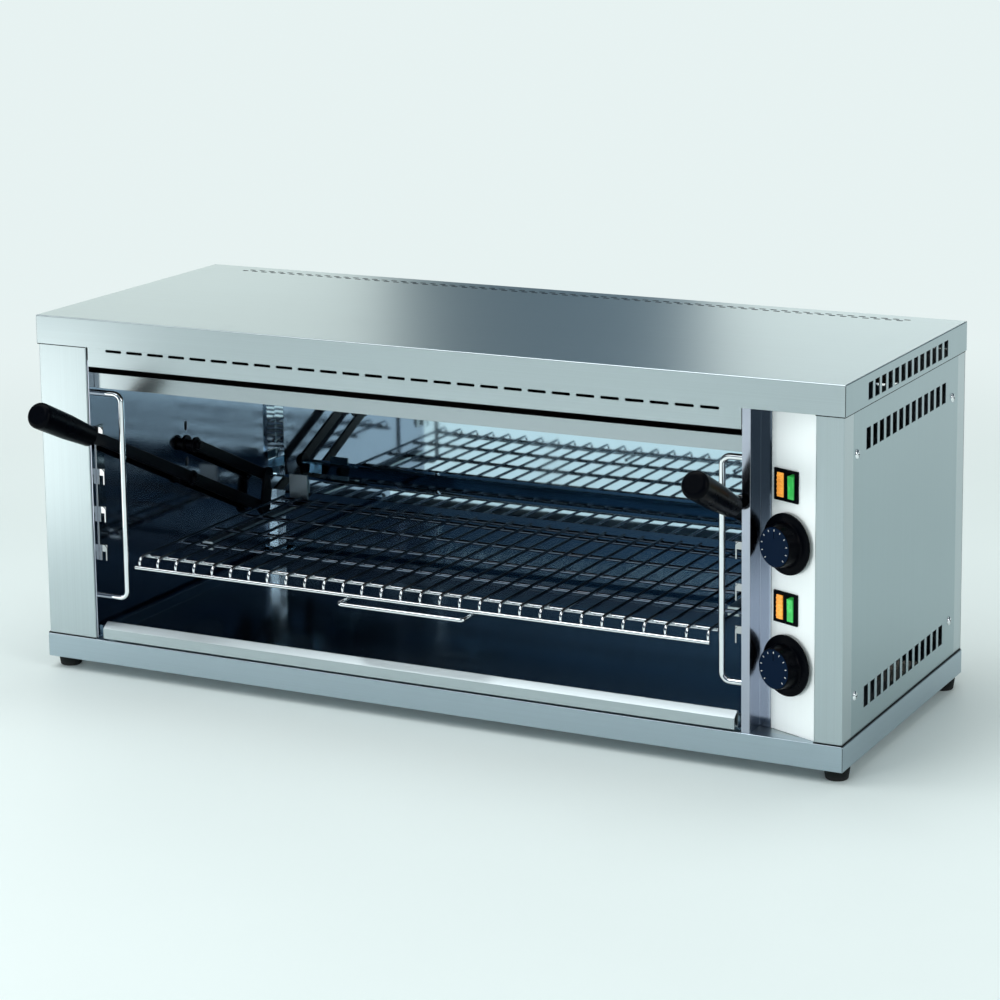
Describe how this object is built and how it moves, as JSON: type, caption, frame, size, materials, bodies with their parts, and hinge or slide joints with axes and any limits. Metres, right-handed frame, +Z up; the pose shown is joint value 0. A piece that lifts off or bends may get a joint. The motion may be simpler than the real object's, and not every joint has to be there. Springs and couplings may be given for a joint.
{
  "type": "cheese melter",
  "caption": "Wide open-fronted electric cheese melter: wire grid raised by two side levers over a drip tray, heating rods above and a slanted control column on the right.",
  "frame": {"origin": "on the floor under the middle of the whole assembly, grips and cable gland included", "axes": "+X to the right as the user faces the open front, +Y from the open front towards the rear casing, +Z up"},
  "size_m": [0.8514, 0.472, 0.362],
  "materials": {
    "steel_satin": "satin brushed stainless sheet",
    "steel_bright": "bright annealed stainless sheet",
    "steel_mirror": "polished stainless sheet",
    "galvanised": "galvanised steel",
    "wire_chrome": "chromed steel wire",
    "screw_steel": "bright zinc",
    "black_steel": "satin black",
    "black_plastic": "satin black phenolic",
    "element_steel": "heat-tinted sheath",
    "foot_rubber": "matt black",
    "amber_lens": "translucent amber",
    "green_rocker": "translucent green",
    "terminal_white": "unglazed steatite",
    "shaft_steel": "turned steel"
  },
  "bodies": {
    "cabinet": {"base_pan": "steel_satin", "foot_front_left": "foot_rubber", "foot_front_right": "foot_rubber", "foot_rear_left": "foot_rubber", "foot_rear_right": "foot_rubber", "left_pillar": "steel_satin", "right_pillar": "steel_satin", "left_side_panel": "steel_satin", "right_side_panel": "steel_satin", "left_rear_post": "steel_satin", "right_rear_post": "steel_satin", "rear_panel": "galvanised", "top_cover": "steel_satin", "header_strip": "steel_satin", "heat_deflector": "steel_bright", "ceiling_reflector": "steel_mirror", "cavity_left_wall": "steel_mirror", "cavity_right_wall": "steel_mirror", "cavity_back_wall": "steel_mirror", "cavity_floor": "steel_mirror", "element_front": "element_steel", "element_rear": "element_steel", "element_supports": "galvanised", "control_panel": "steel_bright", "switch_housing_upper": "black_plastic", "switch_housing_lower": "black_plastic", "pilot_lens_upper": "amber_lens", "pilot_lens_lower": "amber_lens", "regulator_upper": "galvanised", "regulator_lower": "galvanised", "terminal_block": "terminal_white", "cable_gland": "black_plastic", "guide_rod_left": "wire_chrome", "guide_rod_right": "wire_chrome", "stop_hooks_left": "steel_bright", "stop_hooks_right": "steel_bright", "pivot_studs_left": "black_steel", "pivot_studs_right": "black_steel", "cover_screws": "screw_steel"},
    "lever_left": {"lever_left": "black_steel", "grip_left": "black_plastic"},
    "lever_right": {"lever_right": "black_steel", "grip_right": "black_plastic"},
    "link_left": {"upper_link_left": "black_steel"},
    "link_right": {"upper_link_right": "black_steel"},
    "carrier": {"carrier_plate_left": "black_steel", "carrier_plate_right": "black_steel", "rear_cross_bar": "steel_mirror", "support_arm_left": "steel_mirror", "support_arm_right": "steel_mirror"},
    "grid": {"wire_grid": "wire_chrome", "pull_loop": "wire_chrome"},
    "tray": {"drip_tray": "steel_bright"},
    "knob_upper": {"knob_upper": "black_plastic", "regulator_shaft_upper": "shaft_steel"},
    "knob_lower": {"knob_lower": "black_plastic", "regulator_shaft_lower": "shaft_steel"},
    "rocker_upper": {"rocker_upper": "green_rocker"},
    "rocker_lower": {"rocker_lower": "green_rocker"}
  },
  "joints": [
    {"name": "lever_left_swing", "type": "hinge", "parent": "cabinet", "child": "lever_left", "pos_m": [-0.354, 0.02505, 0.16705], "axis": [1, 0, 0], "range_deg": [0, 42]},
    {"name": "lever_right_swing", "type": "hinge", "parent": "cabinet", "child": "lever_right", "pos_m": [0.316, 0.02505, 0.16705], "axis": [1, 0, 0], "range_deg": [0, 42]},
    {"name": "link_left_swing", "type": "hinge", "parent": "cabinet", "child": "link_left", "pos_m": [-0.354, 0.03305, 0.20055], "axis": [1, 0, 0], "range_deg": [0, 42]},
    {"name": "link_right_swing", "type": "hinge", "parent": "cabinet", "child": "link_right", "pos_m": [0.316, 0.03305, 0.20055], "axis": [1, 0, 0], "range_deg": [0, 42]},
    {"name": "carrier_level", "type": "hinge", "parent": "lever_left", "child": "carrier", "pos_m": [-0.354, 0.16005, 0.10524], "axis": [1, 0, 0], "range_deg": [-42, 0]},
    {"name": "grid_slide", "type": "slide", "parent": "carrier", "child": "grid", "axis": [0, -1, 0], "range_m": [0, 0.2]},
    {"name": "tray_slide", "type": "slide", "parent": "cabinet", "child": "tray", "axis": [0, -1, 0], "range_m": [0, 0.26]},
    {"name": "knob_upper_turn", "type": "hinge", "parent": "cabinet", "child": "knob_upper", "pos_m": [0.36626, -0.12668, 0.2115], "axis": [-0.3795, -0.9252, 0], "range_deg": [-270, 0]},
    {"name": "knob_lower_turn", "type": "hinge", "parent": "cabinet", "child": "knob_lower", "pos_m": [0.36626, -0.12668, 0.1001], "axis": [-0.3795, -0.9252, 0], "range_deg": [-270, 0]},
    {"name": "rocker_upper_tip", "type": "hinge", "parent": "cabinet", "child": "rocker_upper", "pos_m": [0.37218, -0.1183, 0.2633], "axis": [0.9252, -0.3795, 0], "range_deg": [-14, 0]},
    {"name": "rocker_lower_tip", "type": "hinge", "parent": "cabinet", "child": "rocker_lower", "pos_m": [0.37218, -0.1183, 0.1516], "axis": [0.9252, -0.3795, 0], "range_deg": [-14, 0]}
  ],
  "couplings": [
    {"joint": "lever_right_swing", "follows": "lever_left_swing", "ratio": 1},
    {"joint": "link_left_swing", "follows": "lever_left_swing", "ratio": 1},
    {"joint": "link_right_swing", "follows": "lever_left_swing", "ratio": 1},
    {"joint": "carrier_level", "follows": "lever_left_swing", "ratio": -1}
  ]
}
